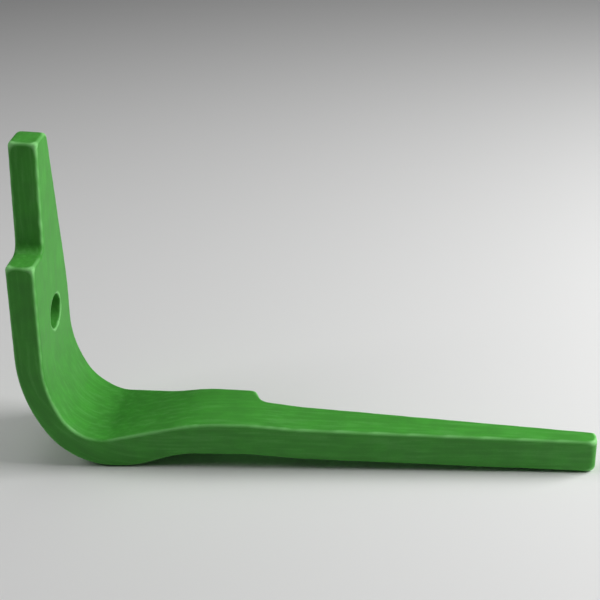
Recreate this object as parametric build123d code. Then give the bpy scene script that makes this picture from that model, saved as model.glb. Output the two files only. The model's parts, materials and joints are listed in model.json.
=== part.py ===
from build123d import *
from math import cos, dist, radians, sin, tan
import os

# A forged harrow tine in one piece, in millimetres.
# It stands on level ground, on the heel of its bend and on the tip of its blade.
# +X runs along the blade to the tip, +Y from the tine's straight side to its stepped side, and +Z up,
# along the mounting arm. The origin is on the floor, below the middle of the tine's box.

# Mounting arm, which leans a little over the blade
arm_thickness = 13.2
arm_width = 50.0
arm_lean = 4.5
shoulder_height = 107.3

# Shoulder and tongue on top of the arm, measured square to the arm and from its straight side
shoulder_depth = 15.8
shoulder_fillet = 4.5
tongue_length = 50.4
tongue_end_inset = 18.8
tongue_end_width = 16.0
tongue_end_corner = 4.0
flank_angle = 10.4
flank_radius = 110.0

# Bolt hole through the arm
hole_diameter = 16.5
hole_below_shoulder = 36.4
hole_inset = 27.0

# Bend: an easy curve off the arm, then a tight one round the heel, on each face of the bar
bend_thickness = 12.2
easy_outer_radius = 73.8
easy_outer_turn = 33.3
tight_outer_radius = 34.7
easy_inner_turn = 28.8
tight_inner_radius = 18.6
heel_thickness = 16.1
inner_straight = 0.7

# Blade from the side: a ramp off the heel, a level crest, a dip and a long fall to the tip
blade_length = 225.8
blade_thickness = 17.5
ramp_angle = 12.5
arch_height = 7.5
arch_foot = 10.0
arch_shoulder = 31.5
arch_radius = 46.0
crest_end = 65.0
crest_radius = 80.0
dip_end = 87.5
dip_drop = 2.2
dip_radius = 80.0

# Blade from above: a flare in from the arm's width, a notch, and a taper to the tip
flare_start = -16.0
flare_start_radius = 40.0
flare_end = 28.5
flare_end_radius = 60.0
flare_end_width = 33.1
notch_start = 65.8
notch_start_width = 30.1
notch_depth = 8.4
notch_slant = 3.4
notch_top_radius = 2.8
notch_foot_radius = 6.0
tip_width = 8.8
tip_corner_radius = 3.5

# Rounding of the edges: full on the outer face and the underside, small on the inner face and the top
outer_edge_radius = 2.2
edge_radius = 1.6
least_edge_turn = 25.0

# How far the cutting outlines run past the bar
spare = 40.0

lean = radians(arm_lean)
straight_side = -arm_width / 2


def along(point, angle, length):
    """The point that lies a length away from a point, at an angle in degrees."""
    return (point[0] + length * cos(radians(angle)), point[1] + length * sin(radians(angle)))


def meet(point_a, angle_a, point_b, angle_b):
    """The point where two lines cross, each given by a point and an angle in degrees."""
    ax, ay = cos(radians(angle_a)), sin(radians(angle_a))
    bx, by = cos(radians(angle_b)), sin(radians(angle_b))
    gap_x, gap_y = point_b[0] - point_a[0], point_b[1] - point_a[1]
    step = (gap_x * by - gap_y * bx) / (ax * by - ay * bx)
    return (point_a[0] + step * ax, point_a[1] + step * ay)


def tangent_length(radius, turn):
    """How far a corner's arc reaches along each of its two lines, for a turn in degrees."""
    return radius * tan(radians(turn) / 2)


# Directions of the bar's two faces on the way down the arm and round the bend
down_arm = -90 - arm_lean
up_arm = down_arm + 180
outer_slope = down_arm + easy_outer_turn
inner_slope = down_arm + easy_inner_turn

# Outer face: its two arcs meet at the joint, and the tight one ends at the heel, where X = 0
heel_reach = tangent_length(tight_outer_radius, -outer_slope)
easy_reach = tangent_length(easy_outer_radius, easy_outer_turn)
heel_corner = (-heel_reach, 0)
outer_joint = along(heel_corner, outer_slope + 180, heel_reach)
outer_corner = along(outer_joint, outer_slope + 180, easy_reach)

# Inner face: it lies off the outer face by the bar's thickness on the arm, in the bend and at the heel
inner_arm_point = along(outer_corner, down_arm + 90, arm_thickness)
inner_bend_point = along(outer_joint, outer_slope + 90, bend_thickness)
ramp_point = (0, heel_thickness)
inner_corner = meet(inner_arm_point, down_arm, inner_bend_point, inner_slope)
ramp_corner = meet(inner_bend_point, inner_slope, ramp_point, ramp_angle)

# The easy inner arc takes what the tight one and a short straight leave of the run between the two corners
inner_run = dist(inner_corner, ramp_corner)
easy_inner_reach = inner_run - inner_straight - tangent_length(tight_inner_radius, ramp_angle - inner_slope)
easy_inner_radius = easy_inner_reach / tan(radians(easy_inner_turn) / 2)

# Levels along the blade, and the shoulder's distance up the arm
crest_top = arch_height + blade_thickness
ramp_end = meet(ramp_point, ramp_angle, (0, crest_top), 0)
shoulder_reach = (shoulder_height - outer_corner[1]) / cos(lean)


def outline(corners):
    """Closed face through corners, each given as its point and the radius that rounds it."""
    points = [point for point, radius in corners]
    radii = [radius for point, radius in corners]
    return make_face(FilletPolyline(*points, radius=radii, close=True))


def arm_plane():
    """Plane in the arm's outer face, level with the shoulder: X runs across the tine, Y up the arm."""
    foot = along(outer_corner, up_arm, shoulder_reach)
    return Plane(
        origin=(foot[0], straight_side, foot[1]),
        x_dir=(0, 1, 0),
        z_dir=(cos(lean), 0, -sin(lean)),
    )


def side_form():
    """The bar's outline from the side, as wide as the arm: arm, bend and arched blade."""
    outer_top = along(outer_corner, up_arm, shoulder_reach + tongue_length)
    face = outline(
        [
            (outer_top, 0),
            (outer_corner, easy_outer_radius),
            (heel_corner, tight_outer_radius),
            ((arch_foot, 0), arch_radius),
            ((arch_shoulder, arch_height), arch_radius),
            ((crest_end, arch_height), crest_radius),
            ((dip_end, arch_height - dip_drop), dip_radius),
            ((blade_length, 0), 0),
            ((blade_length, blade_thickness), 0),
            ((dip_end, crest_top - dip_drop), dip_radius),
            ((crest_end, crest_top), crest_radius),
            (ramp_end, crest_radius),
            (ramp_corner, tight_inner_radius),
            (inner_corner, easy_inner_radius),
            (along(outer_top, down_arm + 90, arm_thickness), 0),
        ]
    )
    return extrude(Plane.XZ * face, amount=arm_width / 2, both=True)


def front_form():
    """The arm's outline seen square to it: full width below, the shoulder and the tapered tongue."""
    stepped_end = (tongue_end_inset + tongue_end_width, tongue_length)
    flank_foot = meet(stepped_end, 90 + flank_angle, (arm_width, 0), 90)
    below = -(shoulder_reach + blade_length)
    face = outline(
        [
            ((0, below), 0),
            ((arm_width, below), 0),
            (flank_foot, flank_radius),
            (stepped_end, tongue_end_corner),
            ((tongue_end_inset, tongue_length), 0),
            ((shoulder_depth, 0), shoulder_fillet),
            ((0, 0), 0),
        ]
    )
    return extrude(arm_plane() * face, amount=2 * blade_length, both=True)


def plan_form():
    """The bar's outline from above: the flare in from the arm's width, the notch and the taper."""
    behind = -(arm_width + spare)
    face = outline(
        [
            ((behind, 0), 0),
            ((behind, arm_width), 0),
            ((flare_start, arm_width), flare_start_radius),
            ((flare_end, flare_end_width), flare_end_radius),
            ((notch_start, notch_start_width), notch_top_radius),
            ((notch_start + notch_slant, notch_start_width - notch_depth), notch_foot_radius),
            ((blade_length, tip_width), 0),
            ((blade_length, 0), tip_corner_radius),
        ]
    )
    return extrude(Pos(0, straight_side, 0) * face, amount=shoulder_height + tongue_length + spare)


def bolt_hole():
    """The drill for the bolt hole, square to the arm."""
    drill = Cylinder(hole_diameter / 2, 2 * spare)
    return arm_plane() * Pos(hole_inset, -hole_below_shoulder, 0) * drill


def faces_outwards(normal):
    """Whether a face with this normal belongs to the arm's outer face, the bend's or the underside."""
    return normal.X + normal.Z < -0.5


def sharp_edges(body, outer_only):
    """The body's edges where two faces meet at an angle: those of the outer side, or all of them."""
    neighbours = {}
    for face in body.faces():
        for edge in face.edges():
            neighbours.setdefault(edge, []).append(face)
    edges = ShapeList()
    for edge, (first, second) in neighbours.items():
        middle = edge.position_at(0.5)
        normals = [first.normal_at(middle), second.normal_at(middle)]
        if normals[0].get_angle(normals[1]) > least_edge_turn:
            if not outer_only or any(faces_outwards(normal) for normal in normals):
                edges.append(edge)
    return edges


def tine():
    """The whole tine: the three outlines crossed, its edges rounded, and the hole drilled last."""
    bar = side_form() & front_form() & plan_form()
    bar = fillet(sharp_edges(bar, outer_only=True), min(outer_edge_radius, tip_width / 3))
    bar = fillet(sharp_edges(bar, outer_only=False), min(edge_radius, tip_width / 4))
    return bar - bolt_hole()


body = tine()
box = body.bounding_box()
body = Pos(-box.center().X, -box.center().Y, -box.min.Z) * body

os.makedirs("parts", exist_ok=True)
export_step(body, "parts/tine.step")
print("tine", len(body.solids()), "solid", round(body.volume), "mm3", box.size)
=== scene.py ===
"""A forged harrow tine in green enamel, standing on its heel and tip on a pale floor.

The tine is one forging: an upright mounting arm with a bolt hole, a shoulder and a tapered tongue, a wide
bend, and an arched blade that narrows to a blunt tip. All sizes are in metres, in the frame of the part.
"""

import json
import logging
import math
from dataclasses import dataclass, field
from enum import Enum

import bpy
import numpy as np
from mathutils import Matrix, Vector

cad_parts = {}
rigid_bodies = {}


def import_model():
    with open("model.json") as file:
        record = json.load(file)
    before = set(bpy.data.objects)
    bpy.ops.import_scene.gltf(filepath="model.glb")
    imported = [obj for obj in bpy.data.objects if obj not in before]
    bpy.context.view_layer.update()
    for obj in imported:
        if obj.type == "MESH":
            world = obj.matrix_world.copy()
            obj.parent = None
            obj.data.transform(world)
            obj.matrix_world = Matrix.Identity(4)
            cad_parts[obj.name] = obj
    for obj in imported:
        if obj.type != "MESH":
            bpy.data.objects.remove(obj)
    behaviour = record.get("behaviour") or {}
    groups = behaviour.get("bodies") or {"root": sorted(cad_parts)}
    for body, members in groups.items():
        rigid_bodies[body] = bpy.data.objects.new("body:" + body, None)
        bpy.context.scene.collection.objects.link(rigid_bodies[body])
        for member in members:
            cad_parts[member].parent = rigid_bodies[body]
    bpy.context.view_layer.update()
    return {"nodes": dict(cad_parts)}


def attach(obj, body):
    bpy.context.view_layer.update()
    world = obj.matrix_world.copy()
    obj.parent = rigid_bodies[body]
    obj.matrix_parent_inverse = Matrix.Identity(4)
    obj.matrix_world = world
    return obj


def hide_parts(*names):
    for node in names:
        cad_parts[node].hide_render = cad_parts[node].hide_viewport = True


log = logging.getLogger("harrow_tine")

MM = 0.001
PLACE_MARK = "bar_place"
EDGE_MARK = "edge"

Socket = bpy.types.NodeSocket
Value = float | tuple[float, ...] | Socket


class Band(Enum):
    """The patterns in the finish, each with its patches' width in metres, its octaves and their strength."""

    SWELL = (22 * MM, 1.0, 0.4)
    PATCH = (9 * MM, 2.0, 0.5)
    STREAK = (1.6 * MM, 2.0, 0.5)
    GRAIN = (0.45 * MM, 1.0, 0.5)

    def __init__(self, width: float, octaves: float, strength: float) -> None:
        """Names the three values of a band.

        Args:
            width: The width of one of its patches.
            octaves: How many finer octaves it has.
            strength: How strong those are.
        """
        self.width = width
        self.octaves = octaves
        self.strength = strength


def deselect_all() -> None:
    """Leaves nothing selected and the scene in object mode."""
    if bpy.context.object and bpy.context.object.mode != "OBJECT":
        bpy.ops.object.mode_set(mode="OBJECT")
    bpy.ops.object.select_all(action="DESELECT")


def pick(piece: bpy.types.Object) -> None:
    """Makes one object the only one selected, and the active one.

    Args:
        piece: The object to select.
    """
    deselect_all()
    piece.select_set(True)
    bpy.context.view_layer.objects.active = piece


def settle(piece: bpy.types.Object) -> None:
    """Puts an object's place, turn and scale into its mesh, so that it sits at the origin.

    Args:
        piece: The object to settle.
    """
    pick(piece)
    bpy.ops.object.transform_apply(location=True, rotation=True, scale=True)


def apply_modifiers(piece: bpy.types.Object) -> None:
    """Applies every modifier of an object, in their order.

    Args:
        piece: The object whose modifiers are applied.
    """
    pick(piece)
    for name in [modifier.name for modifier in piece.modifiers]:
        bpy.ops.object.modifier_apply(modifier=name)


class Tree:
    """A short way to place nodes in a material or a node group and to link them."""

    def __init__(self, tree: bpy.types.NodeTree) -> None:
        """Takes the node tree that is built.

        Args:
            tree: The tree of a material or of a shader node group.
        """
        self.tree = tree

    def add(
        self, kind: str, inputs: dict[str | int, Value] | None = None, **settings: object
    ) -> bpy.types.Node:
        """Adds a node, sets its properties and fills its inputs.

        Args:
            kind: The node's type, such as ShaderNodeTexNoise.
            inputs: Values or output sockets by the name or the number of the input.
            **settings: Properties of the node.

        Returns:
            The new node.
        """
        node = self.tree.nodes.new(kind)
        for name, value in settings.items():
            setattr(node, name, value)
        for key, value in (inputs or {}).items():
            socket = node.inputs[key]
            if isinstance(value, Socket):
                self.tree.links.new(value, socket)
            else:
                socket.default_value = value
        return node

    def math(self, operation: str, first: Value, second: Value) -> Socket:
        """Adds a Math node.

        Args:
            operation: The operation, such as MULTIPLY.
            first: A number or a socket.
            second: A number or a socket.

        Returns:
            The socket of the result.
        """
        node = self.add("ShaderNodeMath", {0: first, 1: second}, operation=operation)
        return node.outputs[0]

    def mix(self, share: float, first: Socket, second: Socket) -> Socket:
        """Adds two values up, each by its share.

        Args:
            share: The share of the first value, where the second has the rest.
            first: The first value.
            second: The second value.

        Returns:
            The socket of the sum.
        """
        part = self.math("MULTIPLY", first, share)
        rest = self.math("MULTIPLY", second, 1 - share)
        return self.math("ADD", part, rest)

    def spread(
        self, value: Socket, low: float, high: float, out_low: float = 0.0, out_high: float = 1.0
    ) -> Socket:
        """Maps a range of a value to another range, clamped.

        Args:
            value: The socket that is read.
            low: The value that becomes out_low.
            high: The value that becomes out_high.
            out_low: The lower result.
            out_high: The higher result.

        Returns:
            The socket of the result.
        """
        limits = {0: value, 1: low, 2: high, 3: out_low, 4: out_high}
        return self.add("ShaderNodeMapRange", limits, clamp=True).outputs[0]

    def blend(self, amount: Value, first: Value, second: Value) -> Socket:
        """Mixes two colours.

        Args:
            amount: How much of the second colour shows, as a number or a socket.
            first: The first colour, as a value or a socket.
            second: The second colour, as a value or a socket.

        Returns:
            The socket of the mixed colour.
        """
        node = self.add("ShaderNodeMix", {0: amount, 6: first, 7: second}, data_type="RGBA")
        return node.outputs[2]


def node_group(
    name: str, inputs: dict[str, str], outputs: dict[str, str]
) -> tuple[bpy.types.NodeTree, Tree, bpy.types.Node, bpy.types.Node]:
    """Makes an empty shader node group with named sockets.

    Args:
        name: The group's name.
        inputs: The kind of each input by its name, Float, Vector or Color.
        outputs: The kind of each output by its name.

    Returns:
        The group, its Tree, its input node and its output node.
    """
    group = bpy.data.node_groups.new(name, "ShaderNodeTree")
    for way, sockets in (("INPUT", inputs), ("OUTPUT", outputs)):
        for socket, kind in sockets.items():
            group.interface.new_socket(name=socket, in_out=way, socket_type=f"NodeSocket{kind}")
    tree = Tree(group)
    return group, tree, tree.add("NodeGroupInput"), tree.add("NodeGroupOutput")


@dataclass(frozen=True)
class ForgedSkin:
    """The relief that hot forging leaves under the paint.

    Broad swells and shallow patches run over the bar, with faint streaks along it and a fine grain.
    """

    name: str = "forged skin"
    swell_share: float = 0.7
    streak_share: float = 0.75
    patch_low: float = 0.35
    patch_high: float = 0.65

    def noise(self, tree: Tree, place: Socket, band: Band) -> Socket:
        """Adds the noise of one band.

        Args:
            tree: The tree that it is placed in.
            place: The coordinates that it reads.
            band: The pattern's width, octaves and strength.

        Returns:
            The socket of the noise.
        """
        inputs = {
            "Vector": place,
            "Scale": 1 / band.width,
            "Detail": band.octaves,
            "Roughness": band.strength,
        }
        return tree.add("ShaderNodeTexNoise", inputs).outputs[0]

    def group(self) -> bpy.types.NodeTree:
        """Builds the relief as a node group, which reads a place along, across and through the bar.

        Returns:
            The group, with the heights Height and Fine and the mask Patches.
        """
        group, tree, given, made = node_group(
            self.name,
            {"Place": "Vector", "Stretch": "Float"},
            {"Height": "Float", "Fine": "Float", "Patches": "Float"},
        )
        place, stretch = given.outputs["Place"], given.outputs["Stretch"]
        along = tree.math("DIVIDE", 1.0, stretch)
        squeeze = tree.add("ShaderNodeCombineXYZ", {0: along, 1: 1.0, 2: 1.0}).outputs[0]
        drawn = tree.add("ShaderNodeVectorMath", {0: place, 1: squeeze}, operation="MULTIPLY").outputs[0]

        swell = self.noise(tree, place, Band.SWELL)
        patch = self.noise(tree, place, Band.PATCH)
        streak = self.noise(tree, drawn, Band.STREAK)
        grain = self.noise(tree, place, Band.GRAIN)
        group.links.new(tree.mix(self.swell_share, swell, patch), made.inputs["Height"])
        group.links.new(tree.mix(self.streak_share, streak, grain), made.inputs["Fine"])
        group.links.new(tree.spread(patch, self.patch_low, self.patch_high), made.inputs["Patches"])
        return group


@dataclass(frozen=True)
class Tint:
    """How strongly a second tone shows in the paint, from none at one value of a mask to its full amount."""

    start: float
    full: float
    amount: float


@dataclass(frozen=True)
class GreenEnamel:
    """Green machine enamel, sprayed in one coat over the forged skin."""

    name: str = "tine_paint"
    body: tuple[float, float, float] = (0.064, 0.345, 0.040)
    deep: tuple[float, float, float] = (0.052, 0.225, 0.036)
    # A pale green: thinner paint in some streaks, and a painted highlight along the rounded edges.
    thin_paint_and_highlight: tuple[float, float, float] = (0.270, 0.700, 0.230)
    deep_patches: Tint = Tint(0.0, 1.0, 0.35)
    deep_streaks: Tint = Tint(0.52, 0.30, 0.40)
    thin_streaks: Tint = Tint(0.50, 0.72, 0.15)
    # Lightens the rounded edges: partly thinned paint, mostly a painted highlight.
    edge_thinning_and_highlight: Tint = Tint(0.42, 0.80, 0.85)
    streak_low: float = 0.3
    streak_high: float = 0.7
    roughness_low: float = 0.42
    roughness_high: float = 0.60
    specular: float = 0.10
    coat: float = 0.14
    coat_roughness: float = 0.32
    swell_height: float = 0.25 * MM
    swell_strength: float = 0.6
    fine_height: float = 0.015 * MM
    fine_strength: float = 0.5
    stretch: float = 14.0

    def colour(self, tree: Tree, patches: Socket, fine: Socket, edge: Socket) -> Socket:
        """Works out the paint's colour: deep in patches and streaks, thin on other streaks, and pale on the
        edges as thinned paint with a painted highlight.

        Args:
            tree: The material's tree.
            patches: The mask of the patches.
            fine: The height of the streaks and the grain.
            edge: The mark of the rounded edges, where the painted highlight goes.

        Returns:
            The socket of the colour.
        """
        layers = (
            (patches, self.deep_patches, self.deep),
            (fine, self.deep_streaks, self.deep),
            (fine, self.thin_streaks, self.thin_paint_and_highlight),
            # On the rounded edges the pale tone is a painted highlight as well as thinned paint.
            (edge, self.edge_thinning_and_highlight, self.thin_paint_and_highlight),
        )
        colour: Value = (*self.body, 1)
        for mask, tint, tone in layers:
            amount = tree.spread(mask, tint.start, tint.full, 0.0, tint.amount)
            colour = tree.blend(amount, colour, (*tone, 1))
        return colour

    def material(self, skin: bpy.types.NodeTree) -> bpy.types.Material:
        """Builds the paint.

        Args:
            skin: The group that gives the relief under the paint.

        Returns:
            The material.
        """
        material = bpy.data.materials.new(self.name)
        material.use_nodes = True
        tree = Tree(material.node_tree)
        shader = material.node_tree.nodes["Principled BSDF"]
        place = tree.add("ShaderNodeAttribute", attribute_name=PLACE_MARK).outputs["Vector"]
        edge = tree.add("ShaderNodeAttribute", attribute_name=EDGE_MARK).outputs["Fac"]
        given = {"Place": place, "Stretch": self.stretch}
        relief = tree.add("ShaderNodeGroup", given, node_tree=skin)
        height, fine, patches = (relief.outputs[name] for name in ("Height", "Fine", "Patches"))

        links = material.node_tree.links
        links.new(self.colour(tree, patches, fine, edge), shader.inputs["Base Color"])
        rough = tree.spread(fine, self.streak_low, self.streak_high, self.roughness_low, self.roughness_high)
        links.new(rough, shader.inputs["Roughness"])
        shader.inputs["Specular IOR Level"].default_value = self.specular
        shader.inputs["Coat Weight"].default_value = self.coat
        shader.inputs["Coat Roughness"].default_value = self.coat_roughness

        broad = {"Strength": self.swell_strength, "Distance": self.swell_height, "Height": height}
        small = {"Strength": self.fine_strength, "Distance": self.fine_height, "Height": fine}
        small["Normal"] = tree.add("ShaderNodeBump", broad).outputs[0]
        links.new(tree.add("ShaderNodeBump", small).outputs[0], shader.inputs["Normal"])
        return material


@dataclass(frozen=True)
class PaleFloor:
    """The matt pale paint of the floor."""

    name: str = "pale_floor"
    colour: tuple[float, float, float] = (0.78, 0.78, 0.775)
    roughness: float = 0.7
    specular: float = 0.15

    def material(self) -> bpy.types.Material:
        """Builds the plain floor finish.

        Returns:
            The material.
        """
        material = bpy.data.materials.new(self.name)
        material.use_nodes = True
        shader = material.node_tree.nodes["Principled BSDF"]
        shader.inputs["Base Color"].default_value = (*self.colour, 1)
        shader.inputs["Roughness"].default_value = self.roughness
        shader.inputs["Specular IOR Level"].default_value = self.specular
        return material


@dataclass
class ForgedTine:
    """The tine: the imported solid's own form, with the soft edges and uneven skin of a painted forging.

    The skin is meshed anew in cells, smoothed and pressed in unevenly. Places with a rounding of about
    crisp_radius are marked as edges. The arm's foot and lean and the bend's radius give the line of the bar,
    which the streaks in the paint follow.
    """

    name: str = "painted_tine"
    node: str = "tine"
    body: str = "root"
    slot: str = "tine_paint"
    merge_distance: float = 0.002 * MM
    cell: float = 0.65 * MM
    smoothing: int = 4
    smoothing_factor: float = 0.5
    crisp_radius: float = 1.7 * MM
    mark_smoothing: int = 8
    mark_gain: float = 4.8
    unevenness: float = 0.12 * MM
    unevenness_width: float = 16 * MM
    arm_foot: tuple[float, float] = (-0.1245, 0.060)
    arm_lean: float = math.radians(4.5)
    bend_radius: float = 0.048
    enamel: GreenEnamel = field(default_factory=GreenEnamel)

    def copy_solid(self, source: bpy.types.Object) -> bpy.types.Object:
        """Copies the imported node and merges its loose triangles.

        Args:
            source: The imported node's object, which is left as it is.

        Returns:
            The copy, with its place in its mesh.
        """
        pick(source)
        bpy.ops.object.duplicate()
        piece = bpy.context.object
        piece.name = self.name
        bpy.ops.object.parent_clear(type="CLEAR_KEEP_TRANSFORM")
        settle(piece)
        piece.data.materials.clear()
        bpy.ops.object.mode_set(mode="EDIT")
        bpy.ops.mesh.select_all(action="SELECT")
        bpy.ops.mesh.remove_doubles(threshold=self.merge_distance)
        bpy.ops.mesh.customdata_custom_splitnormals_clear()
        bpy.ops.object.mode_set(mode="OBJECT")
        return piece

    def forge(self, piece: bpy.types.Object) -> None:
        """Gives the copy an even skin, softened edges and the slight unevenness of a forging.

        Args:
            piece: The merged copy.
        """
        skin = piece.modifiers.new("even skin", "REMESH")
        skin.mode = "VOXEL"
        skin.voxel_size = self.cell
        skin.adaptivity = 0.0
        soft = piece.modifiers.new("softened edges", "SMOOTH")
        soft.factor = self.smoothing_factor
        soft.iterations = self.smoothing
        clouds = bpy.data.textures.new("uneven forging", "CLOUDS")
        clouds.noise_scale = self.unevenness_width
        clouds.noise_depth = 1
        uneven = piece.modifiers.new("uneven forging", "DISPLACE")
        uneven.texture = clouds
        uneven.texture_coords = "LOCAL"
        uneven.mid_level = 0.0
        uneven.strength = -self.unevenness
        apply_modifiers(piece)
        bpy.ops.object.shade_smooth()

    def bar_place(self, points: np.ndarray) -> np.ndarray:
        """Works out where points lie along, across and through the bar.

        Args:
            points: Places in the part's frame, one in each row.

        Returns:
            For each point its run along the bar, its place across it and its height through it.
        """
        # The bar runs down the arm, round the bend about its centre, and then straight along the blade.
        x, y, z = points.T
        axis = np.array([math.sin(self.arm_lean), math.cos(self.arm_lean)])
        normal = np.array([axis[1], -axis[0]])
        foot = np.array(self.arm_foot)
        centre = foot + normal * self.bend_radius
        rel = np.stack([x, z], 1) - centre
        up, out = rel @ axis, rel @ normal
        end = math.pi / 2 + self.arm_lean
        turn = np.clip(np.arctan2(-up, -out), 0.0, end)
        run = np.where(up > 0, -up, self.bend_radius * turn)
        depth = np.where(up > 0, -out, np.hypot(up, out)) - self.bend_radius
        past = x - centre[0]
        on_blade = (turn >= end) | ((past > 0) & (z < centre[1]))
        run = np.where(on_blade, self.bend_radius * end + past, run)
        depth = np.where(on_blade, centre[1] - self.bend_radius - z, depth)
        return np.stack([run, y, depth], 1)

    def vectors(self, items: bpy.types.bpy_prop_collection, name: str) -> np.ndarray:
        """Reads one vector from each item of a mesh, such as a vertex's place.

        Args:
            items: The mesh's items.
            name: The vector's name.

        Returns:
            The vectors, one in each row.
        """
        flat = np.empty(len(items) * 3, np.float32)
        items.foreach_get(name, flat)
        return flat.reshape(-1, 3).astype(float)

    def store_marks(self, piece: bpy.types.Object) -> None:
        """Stores on the mesh where each point lies on the bar, and how near a rounded edge it is.

        Args:
            piece: The finished skin.
        """
        mesh = piece.data
        count = len(mesh.vertices)
        points = self.vectors(mesh.vertices, "co")
        normals = self.vectors(mesh.vertex_normals, "vector")
        ends = np.empty(len(mesh.edges) * 2, np.int32)
        mesh.edges.foreach_get("vertices", ends)
        ends = ends.reshape(-1, 2)
        both = np.concatenate([ends, ends[:, ::-1]])
        degree = np.bincount(both[:, 0], minlength=count).astype(float)

        def around(values: np.ndarray) -> np.ndarray:
            """Averages a value over each point's neighbours.

            Args:
                values: One number for each point.

            Returns:
                The averages.
            """
            return np.bincount(both[:, 0], weights=values[both[:, 1]], minlength=count) / degree

        pull = np.stack([around(points[:, k]) for k in range(3)], 1) - points
        bulge = -(pull * normals).sum(1) / (self.cell * self.cell)
        for _ in range(self.mark_smoothing):
            bulge = 0.5 * bulge + 0.5 * around(bulge)
        # This edge mark sets where the paint is lightened into a painted highlight.
        edge = np.clip(self.mark_gain * bulge * self.crisp_radius, 0.0, 1.0)

        place = mesh.attributes.new(PLACE_MARK, "FLOAT_VECTOR", "POINT")
        place.data.foreach_set("vector", self.bar_place(points).astype(np.float32).ravel())
        mark = mesh.attributes.new(EDGE_MARK, "FLOAT", "POINT")
        mark.data.foreach_set("value", edge.astype(np.float32))

    def build(self, source: bpy.types.Object, skin: bpy.types.NodeTree) -> bpy.types.Object:
        """Builds and dresses the tine.

        Args:
            source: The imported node's object.
            skin: The group that gives the relief under the paint.

        Returns:
            The finished piece.
        """
        piece = self.copy_solid(source)
        self.forge(piece)
        self.store_marks(piece)
        piece.data.materials.append(self.enamel.material(skin))
        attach(piece, self.body)
        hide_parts(self.node)
        return piece


@dataclass
class Floor:
    """The flat pale surface that the tine stands on."""

    half_side: float = 3.0
    finish: PaleFloor = field(default_factory=PaleFloor)

    def build(self) -> bpy.types.Object:
        """Builds the surface.

        Returns:
            The surface.
        """
        deselect_all()
        bpy.ops.mesh.primitive_plane_add(size=2 * self.half_side, location=(0, 0, 0))
        ground = bpy.context.object
        ground.name = "floor"
        ground.data.materials.append(self.finish.material())
        settle(ground)
        return ground


@dataclass(frozen=True)
class SoftBox:
    """One square studio light with a diffuser."""

    name: str
    place: tuple[float, float, float]
    side: float
    power: float
    aim: tuple[float, float, float] = (0.0, 0.0, 0.05)
    colour: tuple[float, float, float] = (1.0, 1.0, 1.0)

    def build(self) -> bpy.types.Object:
        """Hangs the light and turns it to its aim.

        Returns:
            The light.
        """
        deselect_all()
        bpy.ops.object.light_add(type="AREA", location=self.place)
        lamp = bpy.context.object
        lamp.name = self.name
        lamp.data.shape = "SQUARE"
        lamp.data.size = self.side
        lamp.data.energy = self.power
        lamp.data.color = self.colour
        away = Vector(self.aim) - Vector(self.place)
        lamp.rotation_euler = away.to_track_quat("-Z", "Y").to_euler()
        return lamp


@dataclass
class Studio:
    """Plain soft light: a strong box off the blade's tip, two weak ones above and left, and a dim room."""

    boxes: tuple[SoftBox, ...] = (
        SoftBox("key", (0.72, 0.08, 0.47), 0.45, 7.6),
        SoftBox("top", (-0.10, 0.14, 0.85), 0.50, 1.5),
        SoftBox("left", (-0.90, -0.10, 0.80), 0.60, 3.2),
    )
    room: tuple[float, float, float] = (0.85, 0.87, 0.9)
    room_strength: float = 0.04

    def build(self) -> None:
        """Hangs the lights and sets the room's glow."""
        for box in self.boxes:
            box.build()
        world = bpy.data.worlds.new("pale room")
        world.use_nodes = True
        glow = world.node_tree.nodes["Background"]
        glow.inputs["Color"].default_value = (*self.room, 1)
        glow.inputs["Strength"].default_value = self.room_strength
        bpy.context.scene.world = world
        bpy.context.scene.view_settings.view_transform = "Standard"


@dataclass
class Camera:
    """The camera, at the height and angle from which the tine was seen.

    Its angles are in degrees, its focal length and the frame's width in pixels, its sensor in millimetres.
    """

    place: tuple[float, float, float] = (0.04753, -0.45535, 0.33358)
    pitch: float = 29.275
    yaw: float = -4.322
    roll: float = -1.934
    focal: float = 1149.7
    frame_width: float = 600.0
    sensor_width: float = 36.0
    shift: float = -0.06

    def build(self) -> bpy.types.Object:
        """Sets up the camera and makes it the scene's own.

        Returns:
            The camera.
        """
        pitch, yaw, roll = (math.radians(angle) for angle in (self.pitch, self.yaw, self.roll))
        ahead = Vector((math.sin(yaw) * math.cos(pitch), math.cos(yaw) * math.cos(pitch), -math.sin(pitch)))
        level = Vector((math.cos(yaw), -math.sin(yaw), 0.0))
        above = level.cross(ahead)
        right = level * math.cos(roll) + above * math.sin(roll)
        top = above * math.cos(roll) - level * math.sin(roll)
        deselect_all()
        bpy.ops.object.camera_add()
        camera = bpy.context.object
        camera.name = "camera"
        turn = Matrix((right, top, -ahead)).transposed().to_4x4()
        camera.matrix_world = Matrix.Translation(Vector(self.place)) @ turn
        camera.data.sensor_width = self.sensor_width
        camera.data.lens = self.focal * self.sensor_width / self.frame_width
        camera.data.shift_x = self.shift
        camera.data.dof.use_dof = False
        bpy.context.scene.camera = camera
        return camera


def main() -> None:
    """Builds the scene in order: the frame, the tine, the floor, the light and the camera."""
    logging.basicConfig(level=logging.INFO, format="%(name)s: %(message)s")
    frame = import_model()
    deselect_all()

    tine = ForgedTine()
    piece = tine.build(frame["nodes"][tine.node], ForgedSkin().group())
    log.info("tine: %d faces on %s", len(piece.data.polygons), tine.body)
    Floor().build()
    log.info("floor laid")
    Studio().build()
    log.info("lights hung")
    Camera().build()
    log.info("camera set")


if __name__ == "__main__":
    main()
